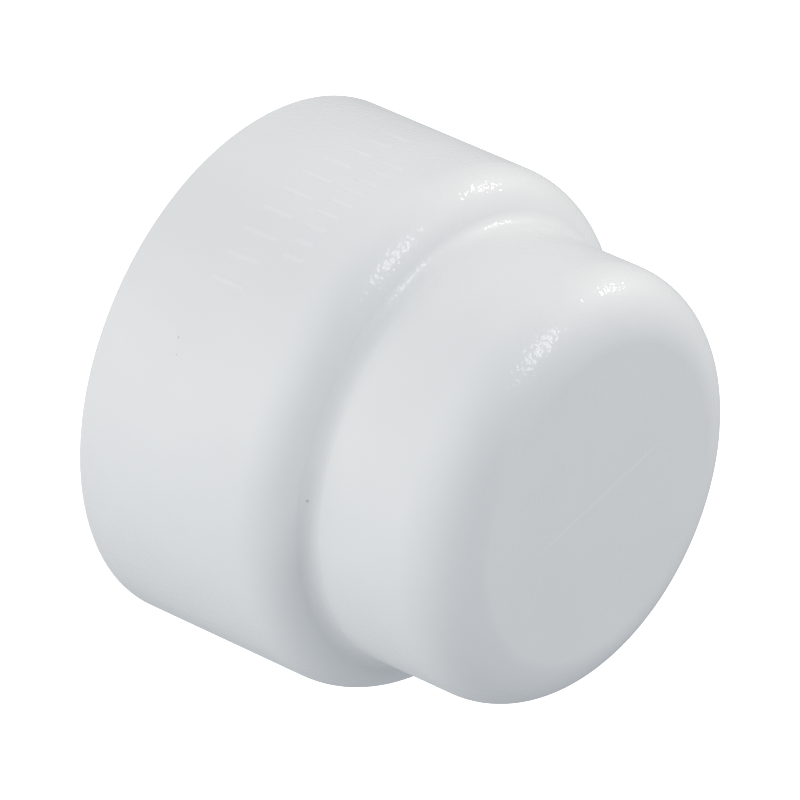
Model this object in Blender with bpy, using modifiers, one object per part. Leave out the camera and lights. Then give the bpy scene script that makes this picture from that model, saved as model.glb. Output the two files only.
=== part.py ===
"""A push-fit waste-pipe reducer whose small outlet is closed by a pull-off blanking cap.

Units are metres and +Z is up. The origin is the centre of the large mouth, and every piece is
turned about Z. The reducer body stands on its mouth, with its outlet spigot pointing up. The cap
covers the spigot and rests on the body's shoulder. Each mouth holds a rubber lip seal, kept in
its chamber by a ring that snaps into a groove.
"""

import math

import bmesh
import bpy

COLLECTION = "capped_pipe_reducer"

# Clearances between pieces
GAP = 0.0003  # between pieces that touch
SLIDE_CLEARANCE = 0.0004  # round what slides on the spigot
PIPE_CLEARANCE = 0.0003  # round the pipe, inside the guide ribs
TIP_CLEARANCE = 0.0020  # spigot tip to the cap's roof

# Pipes that the fitting joins
PIPE_RADIUS = 0.0280  # outside of the pipe that the mouth takes
PIPE_WALL = 0.0022
PIPE_DEPTH = 0.0252  # mouth plane to pipe stop
SPIGOT_RADIUS = 0.0215  # outside of the small outlet
SPIGOT_WALL = 0.0021
SPIGOT_LENGTH = 0.0172  # shoulder plane to tip

# Reducer body
SOCKET_SEAL_SPACE = 0.00335  # pipe surface to the chamber's wall
SOCKET_SEAL_HEIGHT = 0.0063
SOCKET_RING_HEIGHT = 0.0032
CHAMBER_WALL = 0.0028
STOP_HEIGHT = 0.0044  # pipe stop to the roof inside
ROOF_THICKNESS = 0.0030
ROOF_CORNER = 0.0016
BORE_CORNER = 0.0012
SHOULDER_ROUND = 0.0069
RIM_ROUND = 0.0005
SPIGOT_CHAMFER = 0.0008
SPIGOT_ROOT = 0.0006

# Blanking cap
CAP_SEAL_SPACE = 0.00438  # spigot surface to the chamber's wall
CAP_SEAL_HEIGHT = 0.0058
CAP_RING_HEIGHT = 0.0026
CAP_WALL = 0.0026
CAP_ROUND = 0.0080
SKIRT_FLARE = 0.0026  # radius of the hollow curve above the skirt's edge
SKIRT_EDGE = 0.00035  # thickness of the skirt's edge

# Seal chambers and guide ribs
SEAL_LEDGE = 0.0012  # width of the ledge that a seal's back meets
MOUTH_CHAMFER = 0.0004
RIB_WIDTH = 0.0016
RIB_SET_BACK = 0.0004  # from the chamber's end to the rib
RIB_LEAD = 0.0020  # length of the rib's sloping lead-in
SOCKET_RIBS = 12
CAP_RIBS = 8

# Seals and the rings that keep them in
RING_RECESS = 0.0004  # mouth plane to ring
RING_CHAMFER = 0.0006
SNAP_BEAD = 0.0005  # how far the bead stands out of the ring
SNAP_HALF_HEIGHT = 0.0006
SEAL_INSET = 0.0006  # pipe or spigot surface to the seal's thick part
SEAL_FOOT = 0.0016  # height of the seal's thick foot
LIP_THICKNESS = 0.0007
LIP_SQUEEZE = 0.0007  # how far the socket's free lip stands inside the pipe's surface

# Mesh fineness
SEGMENTS = 60
ROUND_STEPS = 6
SMALL_ROUND_STEPS = 3
SHARP_ANGLE = math.radians(28)

# Worked out from the sizes above
SOCKET_CHAMBER_RADIUS = PIPE_RADIUS + SOCKET_SEAL_SPACE
SOCKET_CHAMBER_DEPTH = RING_RECESS + SOCKET_RING_HEIGHT + SOCKET_SEAL_HEIGHT + 2 * GAP
SOCKET_POCKET_RADIUS = SOCKET_CHAMBER_RADIUS - SEAL_LEDGE
SOCKET_RIB_RADIUS = PIPE_RADIUS + PIPE_CLEARANCE
STOP_RADIUS = PIPE_RADIUS - PIPE_WALL
BODY_RADIUS = SOCKET_CHAMBER_RADIUS + CHAMBER_WALL
BODY_LENGTH = PIPE_DEPTH + STOP_HEIGHT + ROOF_THICKNESS  # mouth plane to shoulder plane
SPIGOT_BORE = SPIGOT_RADIUS - SPIGOT_WALL
SPIGOT_TIP = BODY_LENGTH + SPIGOT_LENGTH
CAP_CHAMBER_RADIUS = SPIGOT_RADIUS + CAP_SEAL_SPACE
CAP_CHAMBER_DEPTH = RING_RECESS + CAP_RING_HEIGHT + CAP_SEAL_HEIGHT + 3 * GAP
CAP_POCKET_RADIUS = CAP_CHAMBER_RADIUS - SEAL_LEDGE
CAP_RIB_RADIUS = SPIGOT_RADIUS + SLIDE_CLEARANCE
CAP_RADIUS = CAP_CHAMBER_RADIUS + CAP_WALL
CAP_LENGTH = SPIGOT_LENGTH + TIP_CLEARANCE + CAP_WALL  # shoulder plane to end face


def clear_scene():
    for obj in list(bpy.data.objects):
        bpy.data.objects.remove(obj, do_unlink=True)


def new_collection(name, hidden=False):
    collection = bpy.data.collections.new(name)
    collection.hide_render = hidden
    bpy.context.scene.collection.children.link(collection)
    return collection


def new_material(name, color, roughness, metallic=0.0):
    material = bpy.data.materials.new(name)
    material.use_nodes = True
    shader = material.node_tree.nodes["Principled BSDF"]
    shader.inputs["Base Color"].default_value = (*color, 1.0)
    shader.inputs["Roughness"].default_value = roughness
    shader.inputs["Metallic"].default_value = metallic
    material.diffuse_color = (*color, 1.0)
    return material


def arc(center, radius, start, end, steps):
    """Points (x, z) on an arc, both ends included; angles in degrees, from +X towards +Z."""
    points = []
    for step in range(steps + 1):
        angle = math.radians(start + (end - start) * step / steps)
        points.append((center[0] + radius * math.cos(angle), center[1] + radius * math.sin(angle)))
    return points


def snap_profile(radius, middle):
    """A V standing out from this radius, from its lower edge to its upper edge."""
    return [
        (radius, middle - SNAP_HALF_HEIGHT),
        (radius + SNAP_BEAD, middle),
        (radius, middle + SNAP_HALF_HEIGHT),
    ]


def turned(name, profile, material, parent, collection, closed=True):
    """A profile of (x, z) points, running down its outer side, turned once round Z."""
    mesh = bpy.data.meshes.new(name)
    count = len(profile)
    edges = [(i, i + 1) for i in range(count - 1)]
    if closed:
        edges.append((count - 1, 0))
    mesh.from_pydata([(x, 0.0, z) for x, z in profile], edges, [])
    obj = bpy.data.objects.new(name, mesh)
    collection.objects.link(obj)
    obj.parent = parent
    screw = obj.modifiers.new("turn", "SCREW")
    screw.axis = "Z"
    screw.steps = SEGMENTS
    screw.render_steps = SEGMENTS
    screw.use_merge_vertices = True
    screw.merge_threshold = 0.00001
    obj.data.materials.append(material)
    return obj


def settle(obj):
    """Replaces the object's mesh with its modified one, shaded smooth between its sharp edges."""
    bpy.context.view_layer.update()
    graph = bpy.context.evaluated_depsgraph_get()
    mesh = bpy.data.meshes.new_from_object(obj.evaluated_get(graph))
    mesh.name = obj.name
    obj.modifiers.clear()
    obj.data = mesh
    mesh.shade_smooth()
    mesh.set_sharp_from_angle(angle=SHARP_ANGLE)


def guide_rib(name, inner, outer, low, high, angle, parent, collection):
    """One rib along Z between two radii, with its lower inner edge sloped as a lead-in."""
    mesh = bpy.data.meshes.new(name)
    shape = bmesh.new()
    bmesh.ops.create_cube(shape, size=1.0)
    for vert in shape.verts:
        inside = vert.co.x < 0
        below = vert.co.z < 0
        vert.co.x = inner if inside else outer
        vert.co.y *= RIB_WIDTH
        vert.co.z = low if below else high
        if inside and below:
            vert.co.z += RIB_LEAD
    shape.to_mesh(mesh)
    shape.free()
    rib = bpy.data.objects.new(name, mesh)
    collection.objects.link(rib)
    rib.parent = parent
    rib.rotation_euler.z = angle
    rib.display_type = "WIRE"
    rib.hide_render = True
    return rib


def add_ribs(obj, count, inner, outer, low, high, collection):
    """Joins evenly spaced guide ribs to the inside of a turned piece."""
    for number in range(count):
        angle = 2 * math.pi * (number + 0.5) / count
        name = f"{obj.name}_rib_{number + 1}"
        rib = guide_rib(name, inner, outer, low, high, angle, obj.parent, collection)
        join = obj.modifiers.new(name, "BOOLEAN")
        join.operation = "UNION"
        join.solver = "EXACT"
        join.object = rib


def spigot_outside():
    """The outlet spigot, from its tip down to the fillet at its root."""
    root = SPIGOT_ROOT
    points = [
        (SPIGOT_RADIUS - SPIGOT_CHAMFER, SPIGOT_TIP),
        (SPIGOT_RADIUS, SPIGOT_TIP - 2 * SPIGOT_CHAMFER),
    ]
    center = (SPIGOT_RADIUS + root, BODY_LENGTH + root)
    return points + arc(center, root, 180, 270, SMALL_ROUND_STEPS)


def body_outside():
    """The rounded shoulder, the plain drum and the mouth's outer edge."""
    shoulder = (BODY_RADIUS - SHOULDER_ROUND, BODY_LENGTH - SHOULDER_ROUND)
    rim = (BODY_RADIUS - RIM_ROUND, RIM_ROUND)
    return arc(shoulder, SHOULDER_ROUND, 90, 0, ROUND_STEPS) + arc(
        rim, RIM_ROUND, 0, -90, SMALL_ROUND_STEPS
    )


def body_inside():
    """From the mouth's inner edge up past the seal chamber, pipe stop and roof to the bore."""
    roof = PIPE_DEPTH + STOP_HEIGHT
    radius = SOCKET_CHAMBER_RADIUS
    points = [(radius + MOUTH_CHAMFER, 0.0), (radius, MOUTH_CHAMFER)]
    points += snap_profile(radius, RING_RECESS + SOCKET_RING_HEIGHT / 2)
    points += [
        (radius, SOCKET_CHAMBER_DEPTH),
        (SOCKET_POCKET_RADIUS, SOCKET_CHAMBER_DEPTH),
        (SOCKET_POCKET_RADIUS, PIPE_DEPTH),
        (STOP_RADIUS, PIPE_DEPTH),
    ]
    half_roof = (STOP_RADIUS - SPIGOT_BORE) / 2
    corner = min(ROOF_CORNER, 0.9 * half_roof)
    points += arc((STOP_RADIUS - corner, roof - corner), corner, 0, 90, SMALL_ROUND_STEPS)
    corner = min(BORE_CORNER, 0.9 * half_roof)
    points += arc((SPIGOT_BORE + corner, roof + corner), corner, 270, 180, SMALL_ROUND_STEPS)
    return points + [(SPIGOT_BORE, SPIGOT_TIP)]


def reducer_body(material, parent, collection, cutters):
    profile = spigot_outside() + body_outside() + body_inside()
    body = turned("reducer_body", profile, material, parent, collection)
    low, high = SOCKET_CHAMBER_DEPTH + RIB_SET_BACK, PIPE_DEPTH + GAP
    add_ribs(body, SOCKET_RIBS, SOCKET_RIB_RADIUS, SOCKET_POCKET_RADIUS + GAP, low, high, cutters)
    settle(body)


def skirt_outside():
    """The cap's flared foot: a hollow curve out to a thin edge, then in along the shoulder."""
    shoulder = (BODY_RADIUS - SHOULDER_ROUND, -SHOULDER_ROUND)
    under = SHOULDER_ROUND + GAP
    reach = under + SKIRT_EDGE + SKIRT_FLARE
    edge_x = CAP_RADIUS + SKIRT_FLARE
    over = max(0.0, edge_x - shoulder[0])  # how far the edge hangs over the shoulder's round
    rise = math.sqrt(reach**2 - over**2)
    touch = math.degrees(math.atan2(rise, over))
    center = (edge_x, shoulder[1] + rise)
    hollow = arc(center, SKIRT_FLARE, 180, 180 + touch, ROUND_STEPS)
    if over == 0.0:
        return hollow + [(edge_x, GAP)]
    return hollow + arc(shoulder, under, touch, 90, SMALL_ROUND_STEPS)


def cap_outside():
    """From the middle of the end face over the large round to the skirt's edge."""
    round_center = (CAP_RADIUS - CAP_ROUND, CAP_LENGTH - CAP_ROUND)
    return [(0.0, CAP_LENGTH)] + arc(round_center, CAP_ROUND, 90, 0, ROUND_STEPS) + skirt_outside()


def cap_inside():
    """From the skirt's inner edge up past the seal chamber to the middle of the roof."""
    radius = CAP_CHAMBER_RADIUS
    points = [(radius + MOUTH_CHAMFER, GAP), (radius, GAP + MOUTH_CHAMFER)]
    points += snap_profile(radius, GAP + RING_RECESS + CAP_RING_HEIGHT / 2)
    points += [(radius, CAP_CHAMBER_DEPTH), (CAP_POCKET_RADIUS, CAP_CHAMBER_DEPTH)]
    center = (CAP_RADIUS - CAP_ROUND, CAP_LENGTH - CAP_ROUND)
    inner_round = CAP_ROUND - CAP_WALL
    start = math.degrees(math.acos((CAP_POCKET_RADIUS - center[0]) / inner_round))
    points += arc(center, inner_round, start, 90, ROUND_STEPS // 2)
    return points + [(0.0, CAP_LENGTH - CAP_WALL)]


def blanking_cap(material, parent, collection, cutters):
    profile = cap_outside() + cap_inside()
    cap = turned("blanking_cap", profile, material, parent, collection, closed=False)
    low, high = CAP_CHAMBER_DEPTH + RIB_SET_BACK, SPIGOT_LENGTH - GAP
    add_ribs(cap, CAP_RIBS, CAP_RIB_RADIUS, CAP_POCKET_RADIUS + GAP, low, high, cutters)
    settle(cap)


def lip_seal(name, outer, inner, lip, low, high, material, parent, collection):
    """A ring with a thick foot at its mouth end and a thin lip leaning in and away from it."""
    foot = low + SEAL_FOOT
    tip = high - SEAL_FOOT / 2
    groove = inner + LIP_THICKNESS
    profile = [
        (outer, high),
        (outer, low),
        (inner + SEAL_INSET, low),
        (inner, low + SEAL_INSET),
        (inner, foot),
        (lip, tip),
        (lip + LIP_THICKNESS / 2, tip + LIP_THICKNESS / 2),
        (lip + LIP_THICKNESS, tip),
        (groove, foot + LIP_THICKNESS),
        (groove + LIP_THICKNESS, foot + LIP_THICKNESS),
        (groove + LIP_THICKNESS, high),
    ]
    seal = turned(name, profile, material, parent, collection)
    settle(seal)


def retaining_ring(name, outer, inner, low, height, material, parent, collection):
    """A flat ring with a V bead round its outside and a lead-in round its bore."""
    high = low + height
    bead = snap_profile(outer, low + height / 2)
    profile = [(outer, high), *reversed(bead), (outer, low)]
    profile += [(inner + RING_CHAMFER, low), (inner, low + RING_CHAMFER), (inner, high)]
    ring = turned(name, profile, material, parent, collection)
    settle(ring)


def socket_seal_pieces(rubber, plastic, parent, collection):
    outer = SOCKET_CHAMBER_RADIUS - GAP
    bore = SOCKET_RIB_RADIUS + PIPE_CLEARANCE
    low, height = RING_RECESS, SOCKET_RING_HEIGHT
    name = "socket_retaining_ring"
    retaining_ring(name, outer, bore, low, height, plastic, parent, collection)
    inner, lip = PIPE_RADIUS + SEAL_INSET, PIPE_RADIUS - LIP_SQUEEZE
    low += height + GAP
    high = low + SOCKET_SEAL_HEIGHT
    lip_seal("socket_lip_seal", outer, inner, lip, low, high, rubber, parent, collection)


def cap_seal_pieces(rubber, plastic, parent, collection):
    outer = CAP_CHAMBER_RADIUS - GAP
    low, height = GAP + RING_RECESS, CAP_RING_HEIGHT
    name = "cap_retaining_ring"
    retaining_ring(name, outer, CAP_RIB_RADIUS, low, height, plastic, parent, collection)
    inner, lip = SPIGOT_RADIUS + SEAL_INSET, SPIGOT_RADIUS + GAP
    low += height + GAP
    high = low + CAP_SEAL_HEIGHT
    lip_seal("cap_lip_seal", outer, inner, lip, low, high, rubber, parent, collection)


def empty(name, height, collection):
    obj = bpy.data.objects.new(name, None)
    obj.empty_display_size = 0.01
    obj.location.z = height
    collection.objects.link(obj)
    return obj


def main():
    clear_scene()
    pieces = new_collection(COLLECTION)
    cutters = new_collection("cutters", hidden=True)
    white = new_material("white_pvc", (0.76, 0.78, 0.80), 0.38)
    ring_white = new_material("ring_white", (0.70, 0.72, 0.74), 0.42)
    rubber = new_material("seal_rubber", (0.02, 0.02, 0.022), 0.6)
    fixed = empty("fixed_side", 0.0, pieces)
    pull = empty("cap_slide", BODY_LENGTH, pieces)
    reducer_body(white, fixed, pieces, cutters)
    socket_seal_pieces(rubber, ring_white, fixed, pieces)
    blanking_cap(white, pull, pieces, cutters)
    cap_seal_pieces(rubber, ring_white, pull, pieces)


main()
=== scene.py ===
"""The looks of a capped push-fit pipe reducer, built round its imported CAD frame.

Metres, +Z up, origin at the centre of the large mouth. The fitting stands on that mouth. The two
mouldings are turned again here at a fine step, with every small round, and stand for their CAD
nodes. The seals and the snap-in rings likewise. Raised bars ride on the body as a piece of their
own.
"""

import math

import bmesh
import bpy
from mathutils import Matrix, Vector


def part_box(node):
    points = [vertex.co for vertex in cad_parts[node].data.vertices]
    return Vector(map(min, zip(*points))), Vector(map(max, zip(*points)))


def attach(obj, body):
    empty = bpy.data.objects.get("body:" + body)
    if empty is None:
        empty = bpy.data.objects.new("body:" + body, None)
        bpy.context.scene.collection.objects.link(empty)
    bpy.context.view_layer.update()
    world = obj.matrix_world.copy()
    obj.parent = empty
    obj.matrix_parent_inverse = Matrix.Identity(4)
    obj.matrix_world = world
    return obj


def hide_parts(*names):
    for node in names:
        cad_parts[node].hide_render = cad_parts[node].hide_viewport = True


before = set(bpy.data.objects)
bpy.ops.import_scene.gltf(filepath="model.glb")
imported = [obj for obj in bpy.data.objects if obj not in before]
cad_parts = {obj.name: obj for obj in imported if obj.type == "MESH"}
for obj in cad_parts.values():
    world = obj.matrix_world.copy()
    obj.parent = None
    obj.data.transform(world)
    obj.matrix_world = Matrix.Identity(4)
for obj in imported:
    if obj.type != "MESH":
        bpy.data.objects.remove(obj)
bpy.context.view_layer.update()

MM = 0.001

# Sizes read from the frame
BODY_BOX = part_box("reducer_body")
CAP_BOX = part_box("blanking_cap")
BODY_RADIUS = BODY_BOX[1].x
SPIGOT_TIP = BODY_BOX[1].z
CAP_TOP = CAP_BOX[1].z

# Sizes of the CAD model that no box gives
BODY_LENGTH = 32.6 * MM  # mouth plane to shoulder plane
SHOULDER_ROUND = 6.9 * MM
CAP_RADIUS = 28.48 * MM
CAP_ROUND = 8.0 * MM
CAP_WALL = 2.6 * MM
SPIGOT_RADIUS = 21.5 * MM
SPIGOT_BORE = 19.4 * MM
PIPE_DEPTH = 25.2 * MM  # mouth plane to pipe stop
STOP_RADIUS = 25.8 * MM
ROOF = 29.6 * MM  # mouth plane to the roof inside
SOCKET_CHAMBER = (31.35 * MM, 10.5 * MM)  # radius, depth from the mouth plane
CAP_CHAMBER = (25.88 * MM, 9.7 * MM)  # radius, height over the shoulder plane
SEAL_LEDGE = 1.2 * MM  # width of the ledge that a seal's back meets
GAP = 0.3 * MM  # between pieces that touch

# Corners of the mouldings
EDGE_ROUND = 0.35 * MM  # where no other is given
RIM_ROUND = 0.5 * MM
CHAMBER_CORNER = 0.2 * MM
LEDGE_ROUND = 0.3 * MM
STOP_ROUND = 0.4 * MM
ROOF_CORNER = 1.6 * MM
BORE_CORNER = 1.2 * MM
SPIGOT_CHAMFER = (0.8 * MM, 1.6 * MM)  # width, length
SPIGOT_CHAMFER_ROUNDS = (0.2 * MM, 0.5 * MM)
SPIGOT_ROOT = 0.6 * MM

# Guide ribs
SOCKET_RIBS = 12
CAP_RIBS = 8
SOCKET_RIB_RADIUS = 28.3 * MM
CAP_RIB_RADIUS = 21.9 * MM
RIB_WIDTH = 1.6 * MM
RIB_LEAD = 2.0 * MM  # length of the sloping lead-in
RIB_SET_BACK = 0.4 * MM  # from the chamber's end to the rib
RIB_SINK = 0.3 * MM  # how far a rib goes into the wall that it stands on
RIB_EDGE = 0.3 * MM
RIB_EDGE_STEPS = 3

# Snap-in rings and seals
SOCKET_RING_BORE = 28.6 * MM
CAP_RING_BORE = 21.9 * MM
SNAP_BEAD = 0.5 * MM  # how far the bead stands out of the ring
SNAP_HALF_HEIGHT = 0.6 * MM
SNAP_ROUND = 0.15 * MM
SNAP_HEIGHT = 2.0 * MM  # from the chamber's mouth to the middle of its groove
RING_CHAMFER = 0.6 * MM
RING_ROUND = 0.2 * MM
SOCKET_SEAL_RADII = (28.6 * MM, 27.3 * MM)  # inside of the foot, tip of the lip
CAP_SEAL_RADII = (22.1 * MM, 21.8 * MM)
SEAL_FOOT = 1.6 * MM
SEAL_CHAMFER = 0.6 * MM
SEAL_ROUND = 0.25 * MM
GROOVE_ROUND = 0.15 * MM
LIP_ROUND = 0.1 * MM
LIP_THICKNESS = 0.7 * MM
LIP_SET_BACK = 0.8 * MM  # from the seal's end to the lip's tip

# Fine work that only the looks have
SEGMENTS = 240
ROUND_STEPS = 4
MERGE_DISTANCE = 0.002 * MM
SKIRT_FLARE = 2.6 * MM  # the hollow curve where the cap meets the shoulder
SKIRT_EDGE = 0.012 * MM
SKIRT_GAP = 0.008 * MM

# Raised bars. The steps are a bar's cross-section from its foot up: height over the drum, and how
# far it stands out from the bar's outline.
BAR_WIDTH = 0.3 * MM
BAR_SPLITS = (4, 2)  # across and along a bar, so that it can bend with the drum
BAR_STEPS = (
    (-0.10 * MM, 0.32 * MM),
    (0.005 * MM, 0.18 * MM),
    (0.035 * MM, 0.04 * MM),
    (0.045 * MM, -0.12 * MM),
)
# Each row's height up the drum, bar height, azimuth of its middle, spacing and count
BAR_ROWS = (
    (14.4 * MM, 4.6 * MM, math.radians(232), 3.6 * MM, 10),
    (20.4 * MM, 3.0 * MM, math.radians(233), 2.4 * MM, 9),
)

# White plastic. Texture scales are per metre.
PVC_COLOR = (0.76, 0.775, 0.782)
PVC_ROUGHNESS = 0.5
PVC_IOR = 1.53
BAR_COLOR = tuple(c * 1.025 for c in PVC_COLOR)
RING_COLOR = (0.70, 0.72, 0.74)
RING_ROUGHNESS = 0.42
TONE_SCALE = 60.0
PATCH_SCALE = 220.0
SWELL_SCALE = 150.0
SWELL_DEPTH = 0.06 * MM
GRAIN_SCALE = 2600.0
GRAIN_DEPTH = 0.02 * MM
FLECK_SCALE = 1800.0  # the skin's coarser pits, which break a highlight into flecks
FLECK_DEPTH = 0.072 * MM
SKIN_WEIGHT = 0.36
SKIN_ROUGHNESS = 0.06
# Painted highlight along a faint raised line across the cap's end face: a lighter tint, not a colour
# of the plastic
LINE_HIGHLIGHT_HALF_WIDTH = 0.4 * MM
LINE_HIGHLIGHT_FADE = 4.0 * MM  # how far in from its ends the line reaches full strength
LINE_HIGHLIGHT_COLOR = (0.9, 0.91, 0.92)
LINE_HIGHLIGHT_STRENGTH = 0.22
SPECK_COLOR = (0.52, 0.52, 0.52)
# Each speck's azimuth, distance from the axis, height and size
BODY_SPECKS = (
    (math.radians(273.7), BODY_RADIUS, 11.35 * MM, 0.16 * MM),
    (math.radians(277.1), BODY_RADIUS, 11.95 * MM, 0.12 * MM),
)
CAP_SPECKS = (
    (math.radians(346.6), CAP_RADIUS - 1.2 * MM, 50.0 * MM, 0.18 * MM),
    (math.radians(298.5), CAP_RADIUS + 0.75 * MM, BODY_LENGTH, 0.26 * MM),
)

# Black rubber
RUBBER_DARK = (0.016, 0.016, 0.018)
RUBBER_BLOOM = (0.04, 0.04, 0.042)
BLOOM_SCALE = 400.0
RUBBER_GRAIN_SCALE = 2500.0
RUBBER_GRAIN_DEPTH = 0.02 * MM

# Camera. The first three are in radii of the large drum: the distance to the mouth's middle along
# the view, and how far right and up of the view's middle it is.
DISTANCE = 36.44
MOUTH_RIGHT = -0.4993
MOUTH_UP = 0.1663
FOCAL_MM = 450.0
SENSOR_MM = 36.0
TILT = math.radians(34.05)  # how far the camera stands above the mouth's plane
ROLL = math.radians(113.9)

# Floor, world and lights
FLOOR_RADIUS = 2.5
WORLD_COLOR = (0.94, 1.0, 1.08)
WORLD_STRENGTH = 0.412
WARM = (1.0, 0.92, 0.82)
MILD = (1.0, 0.96, 0.9)
WHITE = (1.0, 1.0, 1.0)
# Name, direction from the fitting (right, up and back as the camera sees it), distance, diameter,
# power, colour, and whether it leaves a highlight
LIGHTS = (
    ("key", (0.69, 0.69, -0.20), 0.9, 0.12, 1.1, WARM, True),
    ("key_fill", (0.69, 0.69, -0.20), 0.9, 0.4, 2.1, WARM, False),
    ("side", (0.68, 0.43, 0.59), 0.9, 0.28, 1.6, WHITE, True),
    ("front_fill", (0.67, 0.0, 0.74), 1.0, 0.6, 1.45, MILD, False),
    ("top_fill", (-0.47, 0.81, 0.34), 1.0, 0.6, 2.35, MILD, False),
    ("left_fill", (-0.94, 0.0, 0.34), 1.0, 0.6, 4.15, MILD, False),
    ("low_fill", (-0.47, -0.81, 0.34), 1.0, 0.6, 2.0, WHITE, False),
)


# ---------------------------------------------------------------- camera


def camera_axes():
    """The camera's right, up and back directions in the row's frame."""
    back = Vector((0.0, -math.cos(TILT), math.sin(TILT)))
    level = Vector((1.0, 0.0, 0.0))
    upright = back.cross(level)
    right = math.cos(ROLL) * level + math.sin(ROLL) * upright
    up = back.cross(right)
    return right, up, back


def seen(right, up, back):
    """A direction given as the camera sees it, in the row's frame."""
    axes = camera_axes()
    return (axes[0] * right + axes[1] * up + axes[2] * back).normalized()


def add_camera():
    right, up, back = camera_axes()
    data = bpy.data.cameras.new("camera")
    data.lens = FOCAL_MM
    data.sensor_width = SENSOR_MM
    data.clip_start = 0.1
    data.clip_end = 20.0
    camera = bpy.data.objects.new("camera", data)
    place = (back * DISTANCE - right * MOUTH_RIGHT - up * MOUTH_UP) * BODY_RADIUS
    turn = Matrix((right, up, back)).transposed().to_4x4()
    camera.matrix_world = Matrix.Translation(place) @ turn
    bpy.context.scene.collection.objects.link(camera)
    bpy.context.scene.camera = camera


# ---------------------------------------------------------------- shapes


def arc(center, radius, start, end, steps):
    """Points (x, z) on an arc, both ends included; angles in degrees, from +X towards +Z."""
    points = []
    for step in range(steps + 1):
        angle = math.radians(start + (end - start) * step / steps)
        points.append((center[0] + radius * math.cos(angle), center[1] + radius * math.sin(angle)))
    return points


def rounded(corners, radius, closed=True):
    """The outline through these corners, each rounded by this radius or by its own third value.

    An open outline's two ends stay sharp.
    """
    points = []
    count = len(corners)
    for i, corner in enumerate(corners):
        here = Vector(corner[:2])
        size = corner[2] if len(corner) > 2 else radius
        if not closed and i in (0, count - 1):
            points.append(tuple(here))
            continue
        before = (Vector(corners[i - 1][:2]) - here).normalized()
        after = (Vector(corners[(i + 1) % count][:2]) - here).normalized()
        half = before.angle(after) / 2
        center = here + (before + after).normalized() * (size / math.sin(half))
        first = here + before * (size / math.tan(half))
        last = here + after * (size / math.tan(half))
        start, stop = first - center, last - center
        sweep = start.angle_signed(stop)
        for step in range(ROUND_STEPS + 1):
            turned_start = Matrix.Rotation(-sweep * step / ROUND_STEPS, 2) @ start
            points.append(tuple(center + turned_start))
    return points


def turned(name, profile, closed=True):
    """An outline of (x, z) points, running down its outer side, turned once round Z."""
    mesh = bpy.data.meshes.new(name)
    count = len(profile)
    edges = [(i, i + 1) for i in range(count - 1)]
    if closed:
        edges.append((count - 1, 0))
    mesh.from_pydata([(x, 0.0, z) for x, z in profile], edges, [])
    obj = bpy.data.objects.new(name, mesh)
    bpy.context.scene.collection.objects.link(obj)
    screw = obj.modifiers.new("turn", "SCREW")
    screw.steps = screw.render_steps = SEGMENTS
    screw.use_merge_vertices = True
    screw.merge_threshold = MERGE_DISTANCE
    return obj


def settle(obj, sharp=35.0):
    """Replaces the object's mesh with its modified one, smooth but for edges over sharp degrees."""
    bpy.context.view_layer.update()
    graph = bpy.context.evaluated_depsgraph_get()
    mesh = bpy.data.meshes.new_from_object(obj.evaluated_get(graph))
    mesh.name = obj.name
    obj.modifiers.clear()
    obj.data = mesh
    mesh.shade_smooth()
    mesh.set_sharp_from_angle(angle=math.radians(sharp))


def rib_set(name, count, inner, outer, low, high):
    """Evenly spaced ribs along Z, as one object, each with rounded edges and a sloped lead-in."""
    shape = bmesh.new()
    for number in range(count):
        made = bmesh.ops.create_cube(shape, size=1.0)["verts"]
        for vert in made:
            inside, below = vert.co.x < 0, vert.co.z < 0
            vert.co.x = inner if inside else outer
            vert.co.y *= RIB_WIDTH
            vert.co.z = low if below else high
            if inside and below:
                vert.co.z += RIB_LEAD
        turn = Matrix.Rotation(2 * math.pi * (number + 0.5) / count, 3, "Z")
        bmesh.ops.rotate(shape, verts=made, matrix=turn)
    mesh = bpy.data.meshes.new(name)
    shape.to_mesh(mesh)
    shape.free()
    obj = bpy.data.objects.new(name, mesh)
    bpy.context.scene.collection.objects.link(obj)
    bevel = obj.modifiers.new("edges", "BEVEL")
    bevel.width = RIB_EDGE
    bevel.segments = RIB_EDGE_STEPS
    return obj


def join_ribs(obj, ribs):
    """Joins a set of ribs to a turned piece and removes the set."""
    union = obj.modifiers.new("ribs", "BOOLEAN")
    union.operation = "UNION"
    union.solver = "EXACT"
    union.object = ribs
    settle(obj)
    bpy.data.objects.remove(ribs, do_unlink=True)


def snap_corners(radius, middle):
    """A V standing out from this radius, from its lower edge up."""
    return [
        (radius, middle - SNAP_HALF_HEIGHT, SNAP_ROUND),
        (radius + SNAP_BEAD, middle, SNAP_ROUND),
        (radius, middle + SNAP_HALF_HEIGHT, SNAP_ROUND),
    ]


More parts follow.
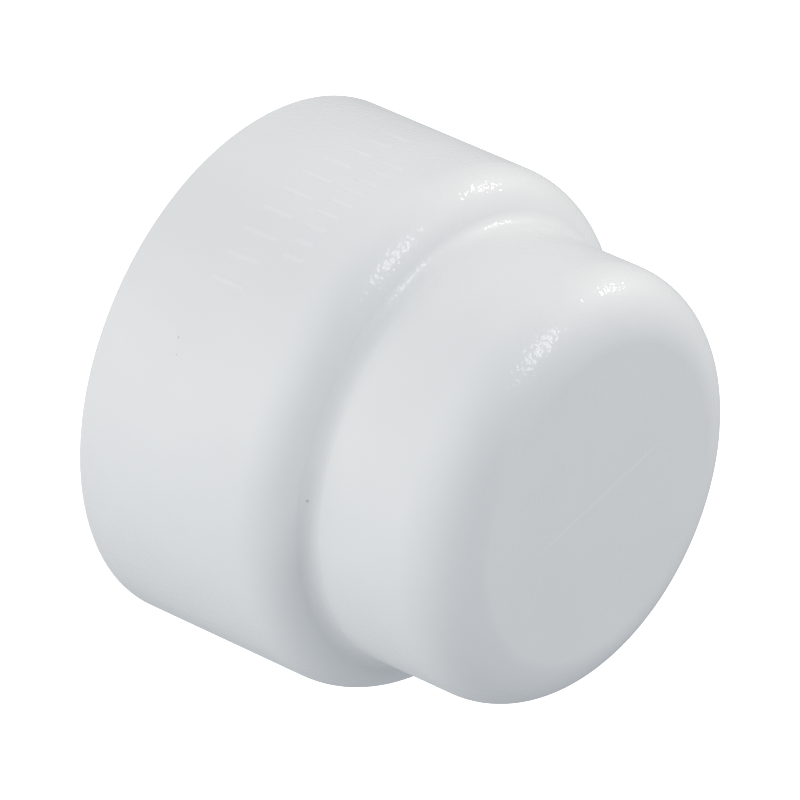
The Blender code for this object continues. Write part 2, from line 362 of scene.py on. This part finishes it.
def body_outline():
    """From the spigot's tip down the outside, and back up the inside."""
    shoulder = (BODY_RADIUS - SHOULDER_ROUND, BODY_LENGTH - SHOULDER_ROUND)
    chamfer_width, chamfer_length = SPIGOT_CHAMFER
    spigot = [
        (SPIGOT_BORE, SPIGOT_TIP),
        (SPIGOT_RADIUS - chamfer_width, SPIGOT_TIP, SPIGOT_CHAMFER_ROUNDS[0]),
        (SPIGOT_RADIUS, SPIGOT_TIP - chamfer_length, SPIGOT_CHAMFER_ROUNDS[1]),
        (SPIGOT_RADIUS, BODY_LENGTH, SPIGOT_ROOT),
        (shoulder[0], BODY_LENGTH),
    ]
    outside = rounded(spigot, EDGE_ROUND, closed=False)[1:-1]
    outside += arc(shoulder, SHOULDER_ROUND, 90, 0, steps=40)
    radius, depth = SOCKET_CHAMBER
    inside = [
        (BODY_RADIUS, 0.0, RIM_ROUND),
        (radius, 0.0),
        *snap_corners(radius, SNAP_HEIGHT),
        (radius, depth, CHAMBER_CORNER),
        (radius - SEAL_LEDGE, depth, LEDGE_ROUND),
        (radius - SEAL_LEDGE, PIPE_DEPTH, STOP_ROUND),
        (STOP_RADIUS, PIPE_DEPTH, STOP_ROUND),
        (STOP_RADIUS, ROOF, ROOF_CORNER),
        (SPIGOT_BORE, ROOF, BORE_CORNER),
    ]
    corners = [(BODY_RADIUS, shoulder[1]), *inside, (SPIGOT_BORE, SPIGOT_TIP)]
    return outside + rounded(corners, EDGE_ROUND, closed=False)[1:]


def make_body():
    body = turned("reducer_moulding", body_outline())
    radius, depth = SOCKET_CHAMBER
    wall = radius - SEAL_LEDGE + RIB_SINK
    low, high = depth + RIB_SET_BACK, PIPE_DEPTH + RIB_SINK
    join_ribs(body, rib_set("body_ribs", SOCKET_RIBS, SOCKET_RIB_RADIUS, wall, low, high))
    return body


def skirt_outline():
    """The hollow curve at the cap's foot, ending in a fine edge close over the shoulder."""
    shoulder = (BODY_RADIUS - SHOULDER_ROUND, BODY_LENGTH - SHOULDER_ROUND)
    under = SHOULDER_ROUND + SKIRT_GAP
    reach = under + SKIRT_EDGE + SKIRT_FLARE
    over = CAP_RADIUS + SKIRT_FLARE - shoulder[0]
    rise = math.sqrt(reach**2 - over**2)
    touch = math.degrees(math.atan2(rise, over))
    center = (shoulder[0] + over, shoulder[1] + rise)
    hollow = arc(center, SKIRT_FLARE, 180, 180 + touch, steps=24)
    return hollow + arc(shoulder, under, touch, 90, steps=24)


def cap_outline():
    """From the middle of the end face down the outside, and back up the inside."""
    center = (CAP_RADIUS - CAP_ROUND, CAP_TOP - CAP_ROUND)
    outside = [(0.0, CAP_TOP)] + arc(center, CAP_ROUND, 90, 0, steps=48) + skirt_outline()
    radius, height = CAP_CHAMBER
    foot = BODY_LENGTH + SKIRT_GAP
    pocket = radius - SEAL_LEDGE
    inner_round = CAP_ROUND - CAP_WALL
    start = math.degrees(math.acos((pocket - center[0]) / inner_round))
    curve = arc(center, inner_round, start, 90, steps=20)
    corners = [
        (outside[-1][0], foot),
        (radius, foot),
        *snap_corners(radius, BODY_LENGTH + SNAP_HEIGHT),
        (radius, BODY_LENGTH + height, CHAMBER_CORNER),
        (pocket, BODY_LENGTH + height, LEDGE_ROUND),
        curve[0],
    ]
    inside = rounded(corners, EDGE_ROUND, closed=False)[1:-1] + curve
    return outside + inside + [(0.0, CAP_TOP - CAP_WALL)]


def make_cap():
    cap = turned("cap_moulding", cap_outline(), closed=False)
    radius, height = CAP_CHAMBER
    wall = radius - SEAL_LEDGE + RIB_SINK
    low, high = BODY_LENGTH + height + RIB_SET_BACK, SPIGOT_TIP - GAP
    join_ribs(cap, rib_set("cap_ribs", CAP_RIBS, CAP_RIB_RADIUS, wall, low, high))
    return cap


def make_ring(name, node, inner):
    """A snap-in ring with a V bead round it, its edges rounded."""
    low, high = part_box(node)[0].z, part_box(node)[1].z
    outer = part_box(node)[1].x - SNAP_BEAD
    bead = snap_corners(outer, (low + high) / 2)
    corners = [(outer, high), *reversed(bead), (outer, low), (inner + RING_CHAMFER, low)]
    corners += [(inner, low + RING_CHAMFER), (inner, high)]
    ring = turned(name, rounded(corners, RING_ROUND))
    settle(ring, 50)
    return ring


def make_seal(name, node, radii):
    """A rubber ring with a thick foot, and on it a thin lip that leans in, a groove and a wall."""
    inner, lip = radii
    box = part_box(node)
    low, high, outer = box[0].z, box[1].z, box[1].x
    foot, tip = low + SEAL_FOOT, high - LIP_SET_BACK
    thick = LIP_THICKNESS
    groove = inner + thick
    corners = [
        (outer, high),
        (outer, low),
        (inner + SEAL_CHAMFER, low),
        (inner, low + SEAL_CHAMFER),
        (inner, foot),
        (lip, tip, LIP_ROUND),
        (lip + thick / 2, tip + thick / 2, LIP_ROUND),
        (lip + thick, tip, LIP_ROUND),
        (groove, foot + thick, GROOVE_ROUND),
        (groove + thick, foot + thick, GROOVE_ROUND),
        (groove + thick, high),
    ]
    seal = turned(name, rounded(corners, SEAL_ROUND))
    settle(seal, 50)
    return seal


# ---------------------------------------------------------------- raised marks


def raised_bar(shape, angle, height, tall):
    """One raised bar on the drum, bent to it, with its edges sloped."""
    across, along = BAR_SPLITS
    rows = []
    for level, grow in BAR_STEPS:
        ring = []
        half_width, half_tall = BAR_WIDTH / 2 + grow, tall / 2 + grow
        outline = [(-half_width + 2 * half_width * i / across, -half_tall) for i in range(across)]
        outline += [(half_width, -half_tall + 2 * half_tall * i / along) for i in range(along)]
        outline += [(half_width - 2 * half_width * i / across, half_tall) for i in range(across)]
        outline += [(-half_width, half_tall - 2 * half_tall * i / along) for i in range(along)]
        for x, z in outline:
            turn = angle + x / BODY_RADIUS
            reach = BODY_RADIUS + level
            ring.append(shape.verts.new((reach * math.cos(turn), reach * math.sin(turn), height + z)))
        rows.append(ring)
    count = len(rows[0])
    for below, above in zip(rows, rows[1:]):
        for i in range(count):
            j = (i + 1) % count
            shape.faces.new((below[i], below[j], above[j], above[i]))
    shape.faces.new(rows[-1])
    shape.faces.new(list(reversed(rows[0])))


def make_marks():
    """Two short rows of plain raised bars where such a fitting carries its maker's marking."""
    shape = bmesh.new()
    for height, tall, middle, pitch, count in BAR_ROWS:
        for number in range(count):
            angle = middle + (number - (count - 1) / 2) * pitch / BODY_RADIUS
            raised_bar(shape, angle, height, tall)
    bmesh.ops.recalc_face_normals(shape, faces=shape.faces)
    mesh = bpy.data.meshes.new("raised_bars")
    shape.to_mesh(mesh)
    shape.free()
    marks = bpy.data.objects.new("raised_bars", mesh)
    bpy.context.scene.collection.objects.link(marks)
    mesh.shade_smooth()
    return marks


# ---------------------------------------------------------------- materials


def new_material(name):
    material = bpy.data.materials.new(name)
    material.use_nodes = True
    nodes, links = material.node_tree.nodes, material.node_tree.links
    return material, nodes, links, nodes["Principled BSDF"]


def noise(nodes, links, coords, scale, detail=2.0, rough=0.5):
    node = nodes.new("ShaderNodeTexNoise")
    node.inputs["Scale"].default_value = scale
    node.inputs["Detail"].default_value = detail
    node.inputs["Roughness"].default_value = rough
    links.new(coords.outputs["Object"], node.inputs["Vector"])
    return node


def ramp(nodes, links, source, low, high, stops=(0.35, 0.65)):
    node = nodes.new("ShaderNodeValToRGB")
    node.color_ramp.elements[0].position = stops[0]
    node.color_ramp.elements[0].color = (*low, 1.0)
    node.color_ramp.elements[1].position = stops[1]
    node.color_ramp.elements[1].color = (*high, 1.0)
    links.new(source, node.inputs["Fac"])
    return node


def bump(nodes, links, height, distance, strength=1.0, after=None):
    node = nodes.new("ShaderNodeBump")
    node.inputs["Strength"].default_value = strength
    node.inputs["Distance"].default_value = distance
    links.new(height, node.inputs["Height"])
    if after:
        links.new(after.outputs["Normal"], node.inputs["Normal"])
    return node


def grey(value):
    return (value, value, value)


def white_plastic(name, color, roughness):
    """White PVC with a slow change of tone, a fine grain, and a glossier skin with coarser pits."""
    material, nodes, links, shader = new_material(name)
    coords = nodes.new("ShaderNodeTexCoord")
    tone = noise(nodes, links, coords, TONE_SCALE, 3.0)
    low = tuple(c * 0.985 for c in color)
    high = tuple(min(1.0, c * 1.01) for c in color)
    paint = ramp(nodes, links, tone.outputs["Fac"], low, high, (0.3, 0.7))
    links.new(paint.outputs["Color"], shader.inputs["Base Color"])
    patches = noise(nodes, links, coords, PATCH_SCALE, 3.0)
    gloss = ramp(nodes, links, patches.outputs["Fac"], grey(roughness - 0.02), grey(roughness + 0.03))
    links.new(gloss.outputs["Color"], shader.inputs["Roughness"])
    slow = noise(nodes, links, coords, SWELL_SCALE, 2.0)
    grain = noise(nodes, links, coords, GRAIN_SCALE, 2.0, 0.6)
    swell = bump(nodes, links, slow.outputs["Fac"], SWELL_DEPTH, 0.5)
    fine = bump(nodes, links, grain.outputs["Fac"], GRAIN_DEPTH, 1.0, swell)
    links.new(fine.outputs["Normal"], shader.inputs["Normal"])
    pits = noise(nodes, links, coords, FLECK_SCALE, 0.0)
    flecks = bump(nodes, links, pits.outputs["Fac"], FLECK_DEPTH)
    links.new(flecks.outputs["Normal"], shader.inputs["Coat Normal"])
    shader.inputs["Coat Weight"].default_value = SKIN_WEIGHT
    shader.inputs["Coat Roughness"].default_value = SKIN_ROUGHNESS
    shader.inputs["IOR"].default_value = PVC_IOR
    return material


def math_node(nodes, links, operation, first, second):
    node = nodes.new("ShaderNodeMath")
    node.operation = operation
    for socket, value in zip(node.inputs, (first, second)):
        if isinstance(value, float):
            socket.default_value = value
        else:
            links.new(value, socket)
    return node.outputs["Value"]


def smooth_step(nodes, links, value, start, end):
    node = nodes.new("ShaderNodeMapRange")
    node.interpolation_type = "SMOOTHSTEP"
    node.inputs["From Min"].default_value = start
    node.inputs["From Max"].default_value = end
    links.new(value, node.inputs["Value"])
    return node.outputs["Result"]


def tint(material, mask, color):
    """Mixes a colour over the material's base colour where the mask is 1."""
    nodes, links = material.node_tree.nodes, material.node_tree.links
    base = nodes["Principled BSDF"].inputs["Base Color"]
    mix = nodes.new("ShaderNodeMix")
    mix.data_type = "RGBA"
    links.new(mask, mix.inputs["Factor"])
    links.new(base.links[0].from_socket, mix.inputs["A"])
    mix.inputs["B"].default_value = (*color, 1.0)
    links.new(mix.outputs["Result"], base)


def add_painted_line_highlight(material, angle, offset, half_length):
    """A faint painted highlight along a line straight across the end face: a lighter tint standing
    for the light that a faint raised line there catches.
    """
    nodes, links = material.node_tree.nodes, material.node_tree.links
    coords = nodes.new("ShaderNodeTexCoord")
    turn = nodes.new("ShaderNodeMapping")
    turn.vector_type = "POINT"
    turn.inputs["Rotation"].default_value[2] = -angle
    links.new(coords.outputs["Object"], turn.inputs["Vector"])
    parts = nodes.new("ShaderNodeSeparateXYZ")
    links.new(turn.outputs["Vector"], parts.inputs["Vector"])
    along = math_node(nodes, links, "ABSOLUTE", parts.outputs["X"], 0.0)
    across = math_node(nodes, links, "SUBTRACT", parts.outputs["Y"], offset)
    across = math_node(nodes, links, "ABSOLUTE", across, 0.0)
    near = smooth_step(nodes, links, across, LINE_HIGHLIGHT_HALF_WIDTH, 0.0)
    short = smooth_step(nodes, links, along, half_length, half_length - LINE_HIGHLIGHT_FADE)
    top = smooth_step(nodes, links, parts.outputs["Z"], CAP_TOP - 0.4 * MM, CAP_TOP - 0.1 * MM)
    mask = math_node(nodes, links, "MULTIPLY", near, short)
    mask = math_node(nodes, links, "MULTIPLY", mask, top)
    mask = math_node(nodes, links, "MULTIPLY", mask, LINE_HIGHLIGHT_STRENGTH)
    tint(material, mask, LINE_HIGHLIGHT_COLOR)


def add_specks(material, places):
    """Tiny dark inclusions in the plastic, solid in the middle and fading out to their size."""
    nodes, links = material.node_tree.nodes, material.node_tree.links
    coords = nodes.new("ShaderNodeTexCoord")
    for azimuth, reach, height, size in places:
        away = nodes.new("ShaderNodeVectorMath")
        away.operation = "DISTANCE"
        links.new(coords.outputs["Object"], away.inputs[0])
        away.inputs[1].default_value = (reach * math.cos(azimuth), reach * math.sin(azimuth), height)
        mask = smooth_step(nodes, links, away.outputs["Value"], size, size * 0.4)
        tint(material, mask, SPECK_COLOR)


def seal_rubber():
    """Black moulded rubber with a dull bloom."""
    material, nodes, links, shader = new_material("black_seal_rubber")
    coords = nodes.new("ShaderNodeTexCoord")
    bloom = noise(nodes, links, coords, BLOOM_SCALE, 4.0)
    paint = ramp(nodes, links, bloom.outputs["Fac"], RUBBER_DARK, RUBBER_BLOOM)
    links.new(paint.outputs["Color"], shader.inputs["Base Color"])
    dull = ramp(nodes, links, bloom.outputs["Fac"], grey(0.5), grey(0.7))
    links.new(dull.outputs["Color"], shader.inputs["Roughness"])
    grain = noise(nodes, links, coords, RUBBER_GRAIN_SCALE, 2.0)
    fine = bump(nodes, links, grain.outputs["Fac"], RUBBER_GRAIN_DEPTH, 0.5)
    links.new(fine.outputs["Normal"], shader.inputs["Normal"])
    return material


# ---------------------------------------------------------------- stage


def add_floor():
    """A plain pale floor under the mouth, clear to a camera below it."""
    bpy.ops.mesh.primitive_circle_add(vertices=64, radius=FLOOR_RADIUS, fill_type="NGON")
    floor = bpy.context.object
    floor.name = "floor"
    material, nodes, links, shader = new_material("floor_white")
    shader.inputs["Base Color"].default_value = (0.9, 0.9, 0.9, 1.0)
    shader.inputs["Roughness"].default_value = 0.9
    shader.inputs["Specular IOR Level"].default_value = 0.0
    shader.inputs["Emission Color"].default_value = (1.0, 1.0, 1.0, 1.0)
    shader.inputs["Emission Strength"].default_value = 1.0
    side = nodes.new("ShaderNodeNewGeometry")
    clear = nodes.new("ShaderNodeBsdfTransparent")
    mix = nodes.new("ShaderNodeMixShader")
    links.new(side.outputs["Backfacing"], mix.inputs["Fac"])
    links.new(shader.outputs["BSDF"], mix.inputs[1])
    links.new(clear.outputs["BSDF"], mix.inputs[2])
    links.new(mix.outputs["Shader"], nodes["Material Output"].inputs["Surface"])
    floor.data.materials.append(material)
    # The floor is only a backdrop: it neither lights nor shades the fitting
    floor.visible_diffuse = False
    floor.visible_glossy = False
    floor.visible_transmission = False
    floor.visible_shadow = False


def add_light(name, seen_from, distance, diameter, power, color, has_highlight):
    """A round light in this direction from the fitting, facing it."""
    direction = seen(*seen_from)
    data = bpy.data.lights.new(name, "AREA")
    data.shape = "DISK"
    data.size = diameter
    data.energy = power
    data.color = color
    light = bpy.data.objects.new(name, data)
    middle = Vector((0.0, 0.0, CAP_TOP / 2))
    light.location = middle + direction * distance
    light.rotation_euler = (-direction).to_track_quat("-Z", "Y").to_euler()
    light.visible_glossy = has_highlight
    bpy.context.scene.collection.objects.link(light)


def add_world():
    world = bpy.data.worlds.new("world")
    bpy.context.scene.world = world
    world.use_nodes = True
    shader = world.node_tree.nodes["Background"]
    shader.inputs["Color"].default_value = (*WORLD_COLOR, 1.0)
    shader.inputs["Strength"].default_value = WORLD_STRENGTH


def add_pieces():
    body_white = white_plastic("white_pvc_plastic", PVC_COLOR, PVC_ROUGHNESS)
    add_specks(body_white, BODY_SPECKS)
    cap_white = white_plastic("white_pvc_cap_plastic", PVC_COLOR, PVC_ROUGHNESS)
    # The cap's end face gets a painted highlight along a faint raised line
    add_painted_line_highlight(cap_white, angle=math.radians(142), offset=0.64 * MM, half_length=13.0 * MM)
    add_specks(cap_white, CAP_SPECKS)
    bar_white = white_plastic("white_pvc_bar_plastic", BAR_COLOR, PVC_ROUGHNESS)
    ring_white = white_plastic("white_ring_plastic", RING_COLOR, RING_ROUGHNESS)
    rubber = seal_rubber()
    body = make_body()
    cap = make_cap()
    socket_ring = make_ring("socket_snap_ring", "socket_retaining_ring", SOCKET_RING_BORE)
    cap_ring = make_ring("cap_snap_ring", "cap_retaining_ring", CAP_RING_BORE)
    socket_seal = make_seal("socket_rubber_seal", "socket_lip_seal", SOCKET_SEAL_RADII)
    cap_seal = make_seal("cap_rubber_seal", "cap_lip_seal", CAP_SEAL_RADII)
    rows = (
        (body, "body", "reducer_body", "white_pvc", body_white),
        (cap, "cap", "blanking_cap", "white_pvc", cap_white),
        (socket_ring, "body", "socket_retaining_ring", "ring_white", ring_white),
        (cap_ring, "cap", "cap_retaining_ring", "ring_white", ring_white),
        (socket_seal, "body", "socket_lip_seal", "seal_rubber", rubber),
        (cap_seal, "cap", "cap_lip_seal", "seal_rubber", rubber),
        (make_marks(), "body", None, "white_pvc", bar_white),
    )
    for piece, rides_on, node, slot, material in rows:
        piece.data.materials.clear()
        piece.data.materials.append(material)
        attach(piece, rides_on)
        if node:
            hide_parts(node)


def main():
    bpy.context.scene.view_settings.view_transform = "Standard"
    add_camera()
    add_pieces()
    add_floor()
    add_world()
    for light in LIGHTS:
        add_light(*light)


main()
